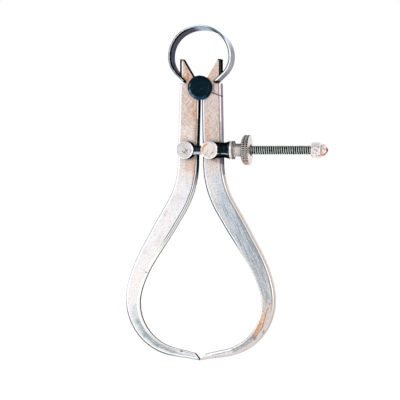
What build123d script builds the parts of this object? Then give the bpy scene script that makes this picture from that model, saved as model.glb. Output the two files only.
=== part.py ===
from build123d import *
import math
import os

# Outside spring caliper, 100 mm size, shown closed with its measuring tips together.
# The legs lie in the XZ plane, their fronts face -Y and the adjusting screw points to +X.
# Every piece is drawn about the fulcrum axis and then lowered, so that the origin is the
# point inside the crown of the bow where the tool hangs on a peg.
# Lengths are in millimetres and angles in degrees.

# Fits and gaps
running_gap = 0.05
seat_gap = 0.08
closed_gap = 0.10
still_gap = 0.02

# Leg, a flat bar with rounded edges that bows out and tapers to the measuring tip
fulcrum_to_tip = 100.0
leg_thickness = 4.8
leg_width = 7.3
leg_edge_radius = 0.88
leg_splay = 1.35
tip_width = 2.15
tip_flat = 0.06
tip_inset = 1.2
tip_bevel = 1.2
straight_below_post = 5.0
flare_radius = 33.0
flare_turn = 29.3
belly_radius = 47.0
belly_turn = 16.2
toe_radius = 19.0
toe_turn = 93.8
taper_start = 29.5
station_pitch = 4.5

# Horn above the fulcrum, and the notch beside it that takes the end of the bow
horn_top = 10.5
horn_outer = 7.55
horn_lean = 30.8

# Bow spring, a flat strip bent to a ring that is open at the bottom
bow_radius = 11.7
bow_thickness = 0.8
bow_width = 8.6
bow_centre_height = 11.3
bow_hook_radius = 9.0
bow_hook_turn = 46.0
bow_end_length = 4.5

# Fulcrum, a headed stud whose neck lies in the half-round seats of the legs
neck_radius = 3.0
fulcrum_head_radius = 4.45
fulcrum_head_thickness = 1.5
fulcrum_head_chamfer = 1.0
fulcrum_chamfer_depth = 0.5
fulcrum_disc_radius = 4.2
fulcrum_disc_thickness = 1.9
fulcrum_disc_chamfer = 0.45
fulcrum_tail_radius = 2.0
fulcrum_dish_radius = 1.0
fulcrum_dish_depth = 0.3

# Posts, which swivel in the legs and carry the screw in front of them
post_offset = 4.6
post_drop = 22.95
post_head_radius = 3.25
post_stand = 6.0
post_chamfer = 0.35
post_shank_radius = 2.0
post_tail_radius = 1.4
post_washer_radius = 3.0
post_washer_thickness = 0.6
post_rivet_radius = 2.1
post_rivet_height = 0.5
post_rivet_chamfer = 0.25

# Adjusting screw
screw_height = 3.05
screw_radius = 1.65
screw_root_radius = 1.4
screw_pitch = 0.8
screw_crest = 0.2
screw_tooth_foot = 0.74
screw_tooth_sink = 0.04
screw_seat_depth = 1.8
thread_start = 9.4
screw_bore_gap = 0.08

# Thrust sleeve and washer between the right post and the nut
sleeve_end_radius = 2.9
sleeve_waist_radius = 2.75
sleeve_rim_radius = 3.25
sleeve_rim_width = 0.7
sleeve_reach = 7.4
washer_radius = 3.4
washer_thickness = 1.15
flange_edge = 0.16

# Knurled nut: a flange, a waisted neck and a knurled rim
nut_flange_thickness = 0.45
nut_flange_radius = 3.4
nut_neck_length = 2.65
nut_neck_radius = 2.35
nut_neck_chamfer = 0.5
nut_rim_radius = 5.5
nut_rim_width = 3.6
nut_band_width = 1.9
nut_band_shift = 0.35
nut_hub_radius = 2.8
nut_band_groove = 0.25
nut_face_dish = 0.25
knurl_teeth = 44
knurl_depth = 0.28

# End cap, which stops the nut at the end of the thread
cap_start = 42.1
cap_radius = 2.9
cap_length = 3.6
cap_shoulder = 0.5
cap_rim_chamfer = 0.35
cap_groove_depth = 0.75
cap_groove_width = 0.35
cap_dome_radius = 2.15
cap_dome_length = 2.15
cap_dome_shoulder = 0.8
cap_dome_shoulder_radius = 1.95
cap_nose_length = 0.3
cap_nose_radius = 0.7
cap_seat_depth = 2.6

half_thickness = leg_thickness / 2
leg_front = -half_thickness
head_back = leg_front - running_gap
rear_face = half_thickness + running_gap
screw_y = leg_front - screw_height
hang_drop = bow_centre_height + bow_radius - bow_thickness
sleeve_end = post_offset + sleeve_reach
nut_start = sleeve_end + washer_thickness
rim_start = nut_start + nut_flange_thickness + nut_neck_length
nut_end = rim_start + nut_rim_width


def run_on(x, z, heading, length, turn):
    # End of a run that starts at x, z and bends evenly by turn over its length.
    # A heading is measured from straight down towards +X, in radians.
    end = heading + turn
    if turn == 0:
        return x + length * math.sin(heading), z - length * math.cos(heading), end
    radius = length / turn
    return (x + radius * (math.cos(heading) - math.cos(end)),
            z + radius * (math.sin(heading) - math.sin(end)), end)


def leg_runs():
    # Centreline of the right leg below its post, as runs of (length, turn).
    splay = math.radians(leg_splay)
    flare = math.radians(flare_turn)
    belly = -math.radians(belly_turn)
    toe = -math.radians(toe_turn)
    bends = [(flare_radius * flare, flare), (belly_radius * -belly, belly), (toe_radius * -toe, toe)]
    x, z, heading = run_on(post_offset, -post_drop, splay, straight_below_post, 0.0)
    for length, turn in bends:
        x, z, heading = run_on(x, z, heading, length, turn)
    # The straight flank and the last straight run are as long as it takes to reach the tip
    flank = splay + flare
    miss_x = tip_inset - x
    miss_z = tip_inset - fulcrum_to_tip - z
    spread = math.sin(heading - flank)
    flank_run = -(miss_x * math.cos(heading) + miss_z * math.sin(heading)) / spread
    last_run = (miss_x * math.cos(flank) + miss_z * math.sin(flank)) / spread
    return [(straight_below_post, 0.0), bends[0], (flank_run, 0.0), bends[1], bends[2],
            (last_run, 0.0)]


def leg_sides():
    # Points down the outer and inner sides of the right leg, from the first bend to the tip.
    runs = leg_runs()
    whole = sum(length for length, _ in runs)
    x, z, heading = post_offset, -post_drop, math.radians(leg_splay)
    outer, inner = [], []
    walked = 0.0
    for index, (length, turn) in enumerate(runs):
        if index > 0:
            steps = max(2, round(length / station_pitch))
            last = index == len(runs) - 1
            for step in range(steps + last):
                part = step / steps
                at_x, at_z, way = run_on(x, z, heading, length * part, turn * part)
                gone = max(0.0, walked + length * part - taper_start)
                width = leg_width + (tip_width - leg_width) * gone / (whole - taper_start)
                side_x, side_z = math.cos(way) * width / 2, math.sin(way) * width / 2
                outer.append((at_x + side_x, at_z + side_z))
                inner.append((at_x - side_x, at_z - side_z))
        x, z, heading = run_on(x, z, heading, length, turn)
        walked += length
    return outer, inner, heading


def shank_side(side, z):
    # X of the outer (+1) or inner (-1) side of the straight shank at height z.
    splay = math.radians(leg_splay)
    centre = post_offset - (post_drop + z) * math.tan(splay)
    return centre + side * leg_width / 2 / math.cos(splay)


def bow_end():
    # Outer and inner corners of the right end of the bow, and the way it points.
    turn = math.radians(bow_hook_turn)
    hook_x = bow_radius - bow_hook_radius
    way = Vector(-math.sin(turn), -math.cos(turn))
    out = Vector(math.cos(turn), -math.sin(turn))
    outer = Vector(hook_x, bow_centre_height) + out * bow_hook_radius + way * bow_end_length
    return outer, outer - out * bow_thickness, way, out


def leg():
    outer, inner, heading = leg_sides()
    end_outer, end_inner, way, out = bow_end()
    # The notch keeps its gap from the inner face and from the end of the bow
    notch_low = end_outer + way * seat_gap + out * seat_gap
    notch_deep = end_inner + way * seat_gap - out * seat_gap
    climb = (horn_outer - notch_deep.X) / -way.X
    notch_top = notch_deep - way * climb
    shoulder_z = notch_low.Y
    # The horn leans out from the inner side of the shank at the height of the fulcrum
    lean = math.tan(math.radians(horn_lean))
    root_x = shank_side(-1, 0.0)
    tip_side = (root_x + horn_top * lean, horn_top)
    # The underside of the toe runs on to the tip, and its top is cut back to a bevel
    under = outer.pop()
    tip_x = closed_gap / 2
    outer.append((tip_x, under[1] - (under[0] - tip_x) / math.tan(-heading)))
    over = inner[-1]
    over = (over[0] - tip_bevel * math.sin(heading), over[1] + tip_bevel * math.cos(heading))
    down = (math.sin(math.radians(leg_splay)), -math.cos(math.radians(leg_splay)))
    to_tip = (math.sin(heading), -math.cos(heading))
    back_up = (-to_tip[0], -to_tip[1])
    edge = Polyline(inner[0], (root_x, 0.0), tip_side, (horn_outer, horn_top),
                    (notch_top.X, notch_top.Y), (notch_deep.X, notch_deep.Y),
                    (notch_low.X, shoulder_z), (shank_side(1, shoulder_z), shoulder_z), outer[0])
    edge += Spline(*outer, tangents=[down, to_tip])
    edge += Line(outer[-1], over)
    edge += Spline(over, *reversed(inner[:-1]), tangents=[back_up, (-down[0], -down[1])])
    blank = extrude(Plane.XZ * make_face(edge), amount=half_thickness, both=True)
    faces = blank.faces().sort_by(Axis.Y)
    rims = faces[0].edges() + faces[-1].edges()
    long_sides = [e for e in rims if e.length > 2 * leg_width and e.center().Z < 0]
    body = fillet(long_sides, min(leg_edge_radius, (tip_width - tip_flat) / 2))
    body -= along_y(neck_radius + running_gap, -leg_thickness, leg_thickness)
    hole = along_y(post_shank_radius + running_gap, -leg_thickness, leg_thickness)
    return body - Pos(post_offset, 0, -post_drop) * hole


def along_y(radius, front, back):
    # A plain round bar along Y, from front to back.
    return Pos(0, (front + back) / 2, 0) * Rot(90, 0, 0) * Cylinder(radius, back - front)


def along_x(radius, left, right):
    # A plain round bar on the screw's axis, between left and right.
    bar = Rot(0, 90, 0) * Cylinder(radius, right - left)
    return Pos((left + right) / 2, screw_y, -post_drop) * bar


def turned_on_y(profile):
    # A turned piece about Y from points of (radius, y).
    return revolve(make_face(Polyline(*profile, close=True)), Axis.Y)


def turned_on_screw(profile):
    # A turned piece about the screw's axis from points of (x, radius).
    shape = revolve(make_face(Polyline(*profile, close=True)), Axis.X)
    return Pos(0, screw_y, -post_drop) * shape


def bow_spring():
    end_outer, end_inner, way, out = bow_end()
    hook_x = bow_radius - bow_hook_radius
    half = CenterArc((0, bow_centre_height), bow_radius, 90, -90)
    half += CenterArc((hook_x, bow_centre_height), bow_hook_radius, 0, -bow_hook_turn)
    hook_out = end_outer - way * bow_end_length
    hook_in = end_inner - way * bow_end_length
    half += Polyline((hook_out.X, hook_out.Y), (end_outer.X, end_outer.Y),
                     (end_inner.X, end_inner.Y), (hook_in.X, hook_in.Y))
    half += CenterArc((hook_x, bow_centre_height), bow_hook_radius - bow_thickness,
                      -bow_hook_turn, bow_hook_turn)
    half += CenterArc((0, bow_centre_height), bow_radius - bow_thickness, 0, 90)
    half += Line((0, hang_drop), (0, hang_drop + bow_thickness))
    face = make_face(half)
    whole = face + mirror(face, about=Plane.YZ)
    return extrude(Plane.XZ * whole, amount=bow_width / 2, both=True)


def fulcrum_stud():
    face = head_back - fulcrum_head_thickness
    disc_back = rear_face + fulcrum_disc_thickness
    return turned_on_y([
        (0, face), (fulcrum_head_radius - fulcrum_head_chamfer, face),
        (fulcrum_head_radius, face + fulcrum_chamfer_depth), (fulcrum_head_radius, head_back),
        (neck_radius, head_back), (neck_radius, rear_face), (fulcrum_tail_radius, rear_face),
        (fulcrum_tail_radius, disc_back), (fulcrum_dish_radius, disc_back),
        (0, disc_back - fulcrum_dish_depth)])


def fulcrum_disc():
    back = rear_face + fulcrum_disc_thickness
    bore = fulcrum_tail_radius + still_gap
    return turned_on_y([
        (bore, rear_face), (fulcrum_disc_radius, rear_face),
        (fulcrum_disc_radius, back - fulcrum_disc_chamfer),
        (fulcrum_disc_radius - fulcrum_disc_chamfer, back), (bore, back)])


def post():
    # A swivel post on the fulcrum axis, before it is drilled and moved to its leg.
    face = leg_front - post_stand
    washer_back = rear_face + post_washer_thickness
    rivet = washer_back + post_rivet_height
    return turned_on_y([
        (0, face), (post_head_radius - post_chamfer, face),
        (post_head_radius, face + post_chamfer), (post_head_radius, head_back),
        (post_shank_radius, head_back), (post_shank_radius, rear_face),
        (post_tail_radius, rear_face), (post_tail_radius, washer_back),
        (post_rivet_radius, washer_back), (post_rivet_radius, rivet - post_rivet_chamfer),
        (post_rivet_radius - post_rivet_chamfer, rivet), (0, rivet)])


def left_post():
    drill = along_x(screw_radius + still_gap, -post_offset - screw_seat_depth - still_gap, 0)
    return Pos(-post_offset, 0, -post_drop) * post() - drill


def right_post():
    drill = along_x(screw_radius + screw_bore_gap, 0, 2 * post_offset)
    return Pos(post_offset, 0, -post_drop) * post() - drill


def post_washer(side):
    back = rear_face + post_washer_thickness
    bore = post_tail_radius + still_gap
    ring = turned_on_y([(bore, rear_face), (post_washer_radius, rear_face),
                        (post_washer_radius, back), (bore, back)])
    return Pos(side * post_offset, 0, -post_drop) * ring


def adjusting_screw():
    start = -post_offset - screw_seat_depth
    shank = along_x(screw_radius, start, thread_start)
    core = along_x(screw_root_radius, thread_start, cap_start + cap_seat_depth)
    # One helical ridge, sunk a little into the core, with half a turn bare at both ends
    ridge_start = thread_start + screw_pitch / 2
    path = Helix(screw_pitch, cap_start - screw_pitch / 2 - ridge_start, screw_root_radius)
    foot = screw_tooth_foot / 2
    depth = screw_radius - screw_root_radius
    tooth = Polyline((-screw_tooth_sink, -foot), (depth, -screw_crest / 2),
                     (depth, screw_crest / 2), (-screw_tooth_sink, foot), close=True)
    place = Plane(origin=(screw_root_radius, 0, 0), x_dir=(1, 0, 0), z_dir=(0, -1, 0))
    ridge = sweep(place * make_face(tooth), path=path, is_frenet=True)
    return shank + core + Pos(ridge_start, screw_y, -post_drop) * Rot(0, 90, 0) * ridge


def thrust_sleeve():
    bore = screw_radius + screw_bore_gap
    waist = post_offset + (post_head_radius + sleeve_reach - sleeve_rim_width) / 2
    blank = turned_on_screw([
        (post_offset + post_head_radius / 2, bore), (post_offset + post_head_radius / 2, sleeve_end_radius),
        (post_offset + post_head_radius, sleeve_end_radius), (waist, sleeve_waist_radius),
        (sleeve_end - 2 * sleeve_rim_width, sleeve_end_radius),
        (sleeve_end - sleeve_rim_width / 2, sleeve_rim_radius), (sleeve_end, sleeve_rim_radius),
        (sleeve_end, bore)])
    # The end towards the post is hollowed to fit round it
    around = along_y(post_head_radius + still_gap, 2 * screw_y, 0)
    return blank - Pos(post_offset, 0, -post_drop) * around


def thrust_washer():
    bore = screw_radius + screw_bore_gap
    rim = washer_radius - flange_edge
    return turned_on_screw([
        (sleeve_end, bore), (sleeve_end, rim), (sleeve_end + flange_edge, washer_radius),
        (nut_start - flange_edge, washer_radius), (nut_start, rim), (nut_start, bore)])


def knurled_nut():
    bore = screw_radius + running_gap
    start = nut_start + running_gap
    flange_end = nut_start + nut_flange_thickness
    flange_rim = nut_flange_radius - flange_edge
    neck_start = flange_end + nut_neck_chamfer
    neck_end = rim_start + nut_neck_chamfer
    middle = rim_start + nut_rim_width / 2 + nut_band_shift
    band = nut_band_width / 2
    body = turned_on_screw([
        (start, bore), (start, flange_rim), (start + flange_edge, nut_flange_radius),
        (flange_end - flange_edge, nut_flange_radius), (flange_end, flange_rim),
        (flange_end, nut_neck_radius + nut_neck_chamfer), (neck_start, nut_neck_radius),
        (neck_end, nut_neck_radius), (neck_end, bore)])
    # The rim has rounded faces each side of a straight-knurled band with a groove round it
    rim = Line((neck_end, bore), (rim_start, nut_neck_radius))
    rim += Line((rim_start, nut_neck_radius), (rim_start, nut_hub_radius))
    rim += TangentArc((rim_start, nut_hub_radius), (middle - band, nut_rim_radius), tangent=(0, 1))
    rim += Polyline((middle - band, nut_rim_radius), (middle - nut_band_groove, nut_rim_radius),
                    (middle, nut_rim_radius - nut_band_groove),
                    (middle + nut_band_groove, nut_rim_radius), (middle + band, nut_rim_radius))
    rim += TangentArc((nut_end, nut_hub_radius), (middle + band, nut_rim_radius), tangent=(0, 1))
    rim += Polyline((nut_end, nut_hub_radius), (nut_end - nut_face_dish, bore + nut_face_dish),
                    (nut_end - nut_face_dish, bore), (neck_end, bore))
    wheel = Pos(0, screw_y, -post_drop) * revolve(make_face(rim), Axis.X)
    teeth = []
    for index in range(2 * knurl_teeth):
        angle = math.pi * index / knurl_teeth
        reach = nut_rim_radius - (index % 2) * knurl_depth
        teeth.append((reach * math.cos(angle), reach * math.sin(angle)))
    length = nut_rim_width + 2 * nut_neck_chamfer
    cutter = Rot(0, 90, 0) * extrude(make_face(Polyline(*teeth, close=True)), amount=length)
    return body + (wheel & Pos(rim_start - nut_neck_chamfer, screw_y, -post_drop) * cutter)


def screw_end_cap():
    end = cap_start + cap_length
    floor = cap_start + cap_seat_depth + still_gap
    bore = screw_root_radius + still_gap
    groove_end = end + cap_groove_width
    groove_radius = cap_radius - cap_groove_depth - cap_rim_chamfer
    tip = groove_end + cap_dome_length
    shape = Line((cap_start, bore), (cap_start, cap_radius - cap_shoulder))
    shape += TangentArc((cap_start, cap_radius - cap_shoulder),
                        (cap_start + cap_shoulder, cap_radius), tangent=(0, 1))
    shape += Polyline(
        (cap_start + cap_shoulder, cap_radius), (end - cap_rim_chamfer, cap_radius),
        (end, cap_radius - cap_rim_chamfer), (end, groove_radius), (groove_end, groove_radius),
        (groove_end, cap_dome_radius), (groove_end + cap_dome_shoulder, cap_dome_shoulder_radius),
        (tip - cap_nose_length, cap_nose_radius), (tip, 0), (floor, 0), (floor, bore),
        (cap_start, bore))
    return Pos(0, screw_y, -post_drop) * revolve(make_face(shape), Axis.X)


os.makedirs("parts", exist_ok=True)
right_leg = leg()
pieces = {
    "left_leg": mirror(right_leg, about=Plane.YZ),
    "right_leg": right_leg,
    "bow_spring": bow_spring(),
    "fulcrum_stud": fulcrum_stud(),
    "fulcrum_disc": fulcrum_disc(),
    "left_post": left_post(),
    "left_post_washer": post_washer(-1),
    "right_post": right_post(),
    "right_post_washer": post_washer(1),
    "adjusting_screw": adjusting_screw(),
    "thrust_sleeve": thrust_sleeve(),
    "thrust_washer": thrust_washer(),
    "knurled_nut": knurled_nut(),
    "screw_end_cap": screw_end_cap(),
}
for name, piece in pieces.items():
    export_step(Pos(0, 0, -hang_drop) * piece, f"parts/{name}.step")
    print(name, round(piece.volume, 2))
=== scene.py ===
import math
import bpy
import bmesh
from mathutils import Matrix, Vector


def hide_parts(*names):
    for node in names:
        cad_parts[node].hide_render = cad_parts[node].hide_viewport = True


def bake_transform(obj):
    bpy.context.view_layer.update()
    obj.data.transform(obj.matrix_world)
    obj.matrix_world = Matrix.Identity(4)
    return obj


# Outside spring caliper, 100 mm size: materials, bow, floor, lamps and camera.
# The scene is in metres. X runs along the screw, -Y faces the viewer and Z is up.
# The pieces' own measures are written in millimetres, and mm turns them into metres.
mm = 0.001
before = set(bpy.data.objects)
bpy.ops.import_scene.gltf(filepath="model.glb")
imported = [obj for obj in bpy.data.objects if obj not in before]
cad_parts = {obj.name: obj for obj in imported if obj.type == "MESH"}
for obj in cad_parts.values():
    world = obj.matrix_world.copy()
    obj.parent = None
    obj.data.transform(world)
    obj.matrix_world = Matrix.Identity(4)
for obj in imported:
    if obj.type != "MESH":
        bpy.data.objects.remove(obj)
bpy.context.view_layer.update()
print("frame loaded:", len(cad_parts), "nodes")

# places of the steel pieces, in millimetres
fulcrumZ = -22.2
postX = 4.6
postZ = -45.15
screwY = -5.45

# directions
alongX = (1, 0, 0)
alongY = (0, 1, 0)
upwards = (0, 0, 1)
forwards = (0, -1, 0)


def paint(red, green, blue):
    # a colour as it is seen on screen, 0 to 255, for a socket
    def linear(value):
        value = value / 255
        return value / 12.92 if value <= 0.04045 else ((value + 0.055) / 1.055) ** 2.4
    return (linear(red), linear(green), linear(blue), 1.0)


# shader helpers


def add(tree, kind, values=None, **settings):
    # a node with its settings, and a link or a fixed value for each socket named
    node = tree.nodes.new(kind)
    for name, value in settings.items():
        setattr(node, name, value)
    for name, value in (values or {}).items():
        if isinstance(value, bpy.types.NodeSocket):
            tree.links.new(value, node.inputs[name])
        else:
            node.inputs[name].default_value = value
    return node


def calc(tree, operation, first, second=0.0, clamp=False):
    return add(tree, "ShaderNodeMath", {0: first, 1: second},
               operation=operation, use_clamp=clamp).outputs[0]


def times(tree, *masks):
    product = masks[0]
    for mask in masks[1:]:
        product = calc(tree, "MULTIPLY", product, mask)
    return product


def distance(tree, value, middle):
    # how far a value lies from a middle one, either way
    return calc(tree, "ABSOLUTE", calc(tree, "SUBTRACT", value, middle))


def vector(tree, operation, first, second=(0, 0, 0)):
    node = add(tree, "ShaderNodeVectorMath", {0: first, 1: second}, operation=operation)
    return node.outputs["Value" if operation in ("DOT_PRODUCT", "LENGTH", "DISTANCE") else "Vector"]


def scaled(tree, way, amount):
    return add(tree, "ShaderNodeVectorMath", {0: way, "Scale": amount},
               operation="SCALE").outputs[0]


def share(tree, way, direction):
    # how much of way runs in a direction
    return vector(tree, "DOT_PRODUCT", way, direction)


def split(tree, way):
    return add(tree, "ShaderNodeSeparateXYZ", {0: way}).outputs


def fade(tree, value, low, high):
    # 0 below low, 1 above high, smooth between; low above high runs the other way
    return add(tree, "ShaderNodeMapRange", {"Value": value, "From Min": low, "From Max": high},
               interpolation_type="SMOOTHSTEP").outputs[0]


def fadeMm(tree, value, low, high):
    # the same for a length, with its ends in millimetres
    return fade(tree, value, low * mm, high * mm)


def slope(tree, value, low, high):
    # 0 to 1 in a straight line between two lengths in millimetres
    return add(tree, "ShaderNodeMapRange", {"Value": value, "From Min": low * mm,
                                            "From Max": high * mm}).outputs[0]


def tint(tree, amount, underShade, over, how="MIX"):
    # sockets 6 and 7 are the two colours
    return add(tree, "ShaderNodeMix", {0: amount, 6: underShade, 7: over},
               data_type="RGBA", blend_type=how).outputs[2]


def layer(tree, face, colour, *masks, how="MIX"):
    # a colour over the face where all the masks meet
    return tint(tree, times(tree, *masks), face, colour, how)


lengths = ("reach", "along", "height", "depth", "fromGroove")  # measures in millimetres


def limitMask(tree, limit, measures):
    # a limit is a plain strength, or (measure, low, high): 0 at low and 1 at high.
    # A direction as the measure is how far round the axis a place lies towards it
    if not isinstance(limit, tuple):
        return limit
    measure, low, high = limit
    if isinstance(measure, tuple):
        return fade(tree, share(tree, measures["way"], measure), low, high)
    unit = mm if measure in lengths else 1
    return fade(tree, measures[measure], low * unit, high * unit)


def coats(tree, face, layers, measures):
    # each layer is a colour and its limits; a list for a colour is a base with layers of its own
    for colour, *limits in layers:
        if isinstance(colour, list):
            colour = coats(tree, colour[0], colour[1:], measures)
        face = layer(tree, face, colour, *[limitMask(tree, limit, measures) for limit in limits])
    return face


def ramp(tree, value, stops):
    node = add(tree, "ShaderNodeValToRGB", {0: value})
    elements = node.color_ramp.elements
    while len(elements) < len(stops):
        elements.new(1.0)
    for element, (position, colour) in zip(elements, stops):
        element.position = position
        element.color = colour
    return node.outputs


def noise(tree, place, size, detail=3.0, roughness=0.5, output="Fac"):
    # size is the width of one lump in millimetres
    values = {"Vector": place, "Scale": 1 / (size * mm), "Detail": detail, "Roughness": roughness}
    return add(tree, "ShaderNodeTexNoise", values).outputs[output]


def longMarks(tree, place, turn, length, width, detail):
    # noise on a place turned in the XZ plane and squeezed, which draws long marks
    values = {"Vector": place, "Rotation": (0, math.radians(turn), 0),
              "Scale": (width, width, length)}
    mapped = add(tree, "ShaderNodeMapping", values, vector_type="TEXTURE").outputs[0]
    return noise(tree, mapped, 1.0, detail)


def turningMarks(tree, along, reach, size, detail=2.0):
    # fine rings left by the lathe
    spot = add(tree, "ShaderNodeCombineXYZ", {"X": along, "Y": reach}).outputs[0]
    return noise(tree, spot, size, detail)


def band(tree, place, start, end, width, soft):
    # 1 within width of the line between two points (x, z), fading over soft
    first = Vector((start[0], 0, start[1])) * mm
    run = Vector((end[0], 0, end[1])) * mm - first
    off = vector(tree, "SUBTRACT", vector(tree, "MULTIPLY", place, (1, 0, 1)), first)
    along = calc(tree, "ADD", share(tree, off, run / run.length_squared), 0.0, clamp=True)
    reach = vector(tree, "DISTANCE", off, scaled(tree, run, along))
    return fadeMm(tree, reach, width + soft, width)


def drawMarks(tree, face, place, marks):
    # a mark: its two ends (x, z), half its width, its soft edge, its colour and its strength
    for start, end, width, soft, colour, strength in marks:
        face = layer(tree, face, colour, band(tree, place, start, end, width, soft), strength)
    return face


def startMaterial(name):
    material = bpy.data.materials.new(name)
    material.use_nodes = True
    tree = material.node_tree
    tree.nodes.clear()
    return material, tree, add(tree, "ShaderNodeTexCoord").outputs["Object"]


def facing(tree):
    # the way the surface faces
    return add(tree, "ShaderNodeTexCoord").outputs["Normal"]


def finishMetal(tree, colour, look, pattern, height):
    # the roughness follows a pattern, and the height gives the relief. The colour also tints
    # the glancing reflections, so dark sides stay dark
    rough = calc(tree, "ADD", times(tree, pattern, look["roughSpread"]), look["roughness"])
    bump = add(tree, "ShaderNodeBump", {"Height": height, "Distance": look["relief"] * mm,
                                        "Strength": 1.0}).outputs[0]
    metal = {"Base Color": colour, "Metallic": 1.0, "Roughness": rough, "Specular Tint": colour,
             "Normal": bump}
    shader = add(tree, "ShaderNodeBsdfPrincipled", metal).outputs[0]
    add(tree, "ShaderNodeOutputMaterial", {"Surface": shader})


def paintCreaseShade(tree, face, reach, creaseShade, amount):
    # painted shade: darker within reach of where pieces meet
    gap = add(tree, "ShaderNodeAmbientOcclusion", {"Distance": reach * mm}, samples=6).outputs["AO"]
    return layer(tree, face, creaseShade, fade(tree, gap, 0.85, 0.25), amount)


def dress(name, material):
    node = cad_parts[name]
    for index in range(len(node.data.materials)):
        node.data.materials[index] = material


# legs

bare = (1, 1, 1, 0)  # a strip that leaves the face as it is

legLook = {
    "grain": 0.6,  # width of one grain, mm
    "clouds": 3.4,
    "specks": 0.8,
    "speckShift": (0.05, 0.02, 0.03),  # keeps the specks apart from the other noises
    "wander": 0.45,  # how far the edge of a stain strays, mm
    "wanderSize": 2.0,
    "grainShade": paint(168, 160, 162),
    "grainShine": paint(248, 244, 242),
    "shineStrength": 0.5,
    "cloud": paint(206, 196, 192),
    "cloudStrength": 0.2,
    "warmSpeck": paint(208, 168, 140),
    "coolSpeck": paint(208, 200, 208),
    "speckStrength": 0.4,
    "hairTurns": (38, -42),  # degrees from upright
    "hairSize": (4.0, 0.45),
    # colour of a hairline, where in the noise it comes in, and its strength
    "hairs": [(paint(246, 236, 228), 0.56, 0.64, 0.6), (paint(170, 146, 134), 0.44, 0.36, 0.45)],
    "brushSize": (7.0, 0.5),
    "brushDark": paint(134, 148, 160),
    "brushPale": paint(214, 218, 220),
    "brushWarm": paint(186, 170, 166),
    "hornSideShade": paint(16, 24, 28),
    # pairs of heights between which a finish comes in
    "scratched": (-54.0, -44.0),
    "brushTop": (-60.0, -68.0),
    "brushFoot": (-104.0, -94.0),
    "toeUnder": (-98.0, -108.0),
    "toePlain": (-76.0, -86.0),
    "horns": (-20.8, -20.4),
    "workCentreZ": -95.0,  # middle of the space between the legs, which the inner edges face
    "sideDepth": 1.4,  # half of the flat part of the side, front to back
    # painted shade where pieces meet: its reach, colour and strength
    "creaseShade": (2.0, paint(34, 30, 30), 0.85),
    "roughness": 0.24,
    "roughSpread": 0.18,
    "relief": 0.012,
}
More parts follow.
